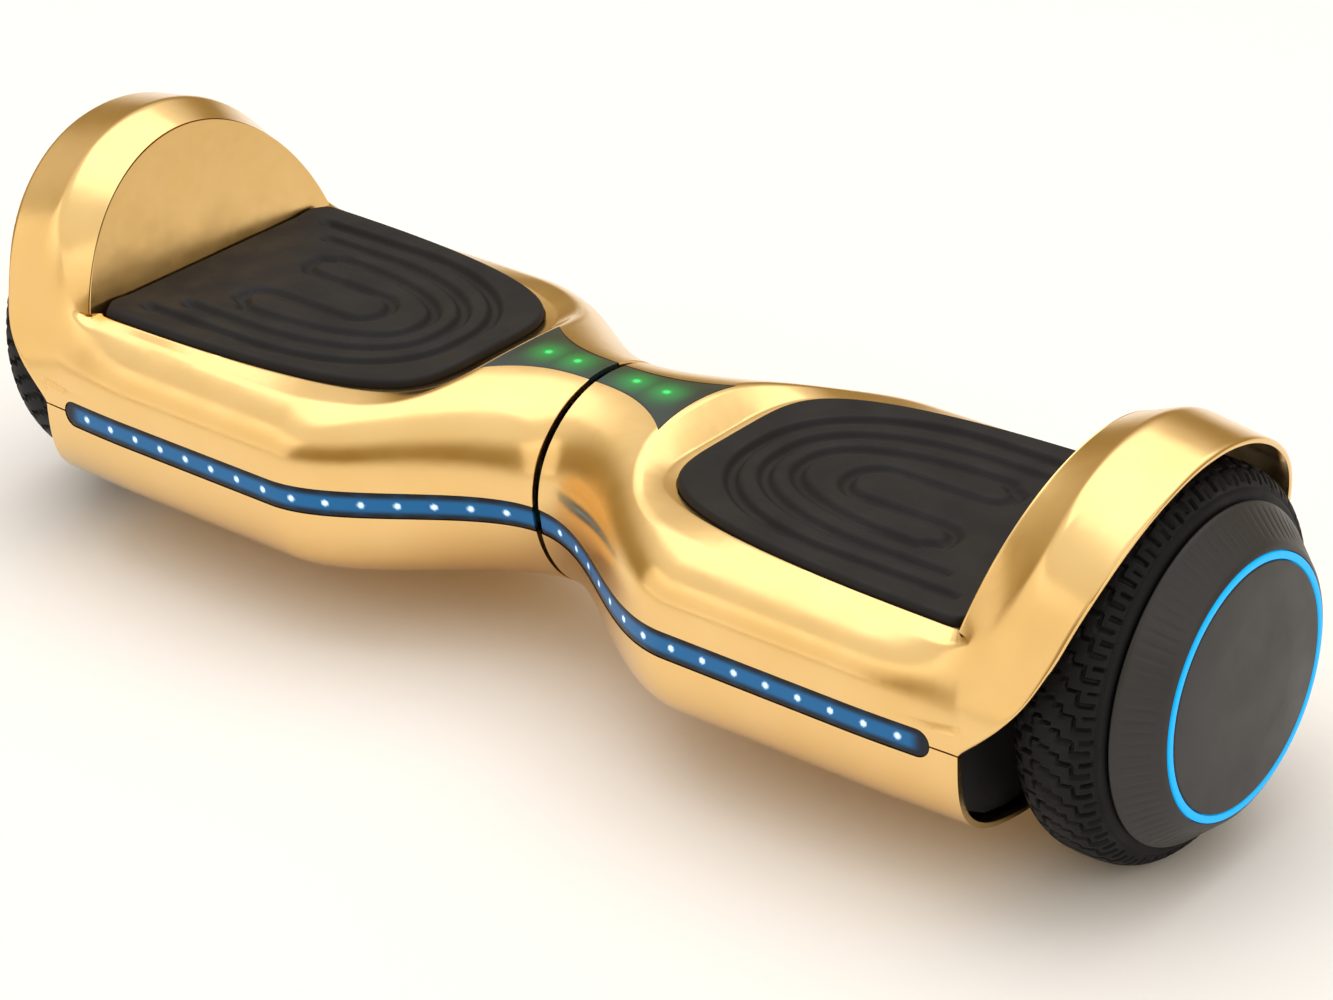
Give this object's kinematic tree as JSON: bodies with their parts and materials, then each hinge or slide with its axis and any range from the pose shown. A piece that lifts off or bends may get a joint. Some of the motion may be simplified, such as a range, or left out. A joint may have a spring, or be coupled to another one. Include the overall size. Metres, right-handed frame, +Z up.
{
  "type": "self balancing hoverboard",
  "caption": "Two-wheel self-balancing board: two hourglass decks twisting on a centre pivot, rubber foot pads, light strip, indicator window and hub-motor wheels under arches.",
  "frame": {"origin": "on the ground at the middle of the board, midway between the wheels", "axes": "+X along the wheel axle towards the right-hand half, -Y to the front with the light strip, +Z up"},
  "size_m": [0.6444, 0.1966, 0.183],
  "materials": {
    "gold_plating": "gold chrome plating on moulded ABS, mirror gloss",
    "pad_rubber": "moulded anti-slip rubber, satin",
    "seal_rubber": "moulded rubber, matt",
    "black_plastic": "moulded, fine texture",
    "hub_plastic": "moulded ABS, satin graphite",
    "blue_lens": "tinted polycarbonate, lit from behind",
    "smoked_lens": "smoked acrylic, gloss",
    "cyan_lens": "diffusing acrylic, lit from behind",
    "tyre_rubber": "moulded solid rubber, satin",
    "cast_aluminium": "die cast",
    "steel": "machined",
    "bronze": "sintered bronze",
    "laminations": "varnished steel laminations and copper",
    "magnets": "nickel-plated magnets",
    "circuit_board": "solder mask",
    "battery_wrap": "shrink-wrapped cells"
  },
  "bodies": {
    "left_half": {"upper_shell_l": "gold_plating", "lower_shell_l": "gold_plating", "well_panel_l": "black_plastic", "strip_lens_l": "blue_lens", "strip_board_l": "circuit_board", "indicator_lens_l": "smoked_lens", "indicator_board_l": "circuit_board", "sensor_board_l": "circuit_board", "frame_l": "cast_aluminium", "axle_clamp_l": "cast_aluminium", "clamp_bolt_1_l": "steel", "clamp_bolt_2_l": "steel", "pivot_tube": "steel", "pivot_ring": "steel", "centre_seal": "seal_rubber", "motor_axle_l": "steel", "stator_l": "laminations", "inner_bearing_l": "steel", "outer_bearing_l": "steel", "battery_pack": "battery_wrap"},
    "right_half": {"upper_shell_r": "gold_plating", "lower_shell_r": "gold_plating", "well_panel_r": "black_plastic", "strip_lens_r": "blue_lens", "strip_board_r": "circuit_board", "indicator_lens_r": "smoked_lens", "indicator_board_r": "circuit_board", "sensor_board_r": "circuit_board", "frame_r": "cast_aluminium", "axle_clamp_r": "cast_aluminium", "clamp_bolt_1_r": "steel", "clamp_bolt_2_r": "steel", "pivot_bush": "bronze", "motor_axle_r": "steel", "stator_r": "laminations", "inner_bearing_r": "steel", "outer_bearing_r": "steel", "controller": "circuit_board", "power_switch": "black_plastic", "charge_socket": "black_plastic"},
    "left_wheel": {"tyre_l": "tyre_rubber", "wheel_rim_l": "cast_aluminium", "magnet_ring_l": "magnets", "motor_cover_l": "cast_aluminium", "hub_cover_l": "hub_plastic", "light_ring_l": "cyan_lens", "ring_board_l": "circuit_board"},
    "right_wheel": {"tyre_r": "tyre_rubber", "wheel_rim_r": "cast_aluminium", "magnet_ring_r": "magnets", "motor_cover_r": "cast_aluminium", "hub_cover_r": "hub_plastic", "light_ring_r": "cyan_lens", "ring_board_r": "circuit_board"},
    "left_pad": {"foot_pad_l": "pad_rubber"},
    "right_pad": {"foot_pad_r": "pad_rubber"},
    "power_button": {"power_button": "black_plastic"},
    "charge_cap": {"charge_cap": "seal_rubber"}
  },
  "joints": [
    {"name": "deck_twist", "type": "hinge", "parent": "left_half", "child": "right_half", "pos_m": [0, 0, 0.07575], "axis": [1, 0, 0], "range_deg": [-12, 12]},
    {"name": "left_wheel_spin", "type": "hinge", "parent": "left_half", "child": "left_wheel", "pos_m": [-0.283, 0, 0.0825], "axis": [1, 0, 0], "continuous": true},
    {"name": "right_wheel_spin", "type": "hinge", "parent": "right_half", "child": "right_wheel", "pos_m": [0.283, 0, 0.0825], "axis": [1, 0, 0], "continuous": true},
    {"name": "left_pad_press", "type": "slide", "parent": "left_half", "child": "left_pad", "axis": [0, 0, -1], "range_m": [0, 0.0015], "stiffness_N_per_m": 9000, "springref_m": -0.001},
    {"name": "right_pad_press", "type": "slide", "parent": "right_half", "child": "right_pad", "axis": [0, 0, -1], "range_m": [0, 0.0015], "stiffness_N_per_m": 9000, "springref_m": -0.001},
    {"name": "power_button_press", "type": "slide", "parent": "right_half", "child": "power_button", "axis": [0, -1, 0], "range_m": [0, 0.0012], "stiffness_N_per_m": 1200, "springref_m": -0.001},
    {"name": "charge_cap_swing", "type": "hinge", "parent": "right_half", "child": "charge_cap", "pos_m": [0.122, 0.09573, 0.0445], "axis": [-1, 0, 0], "range_deg": [0, 110]}
  ]
}
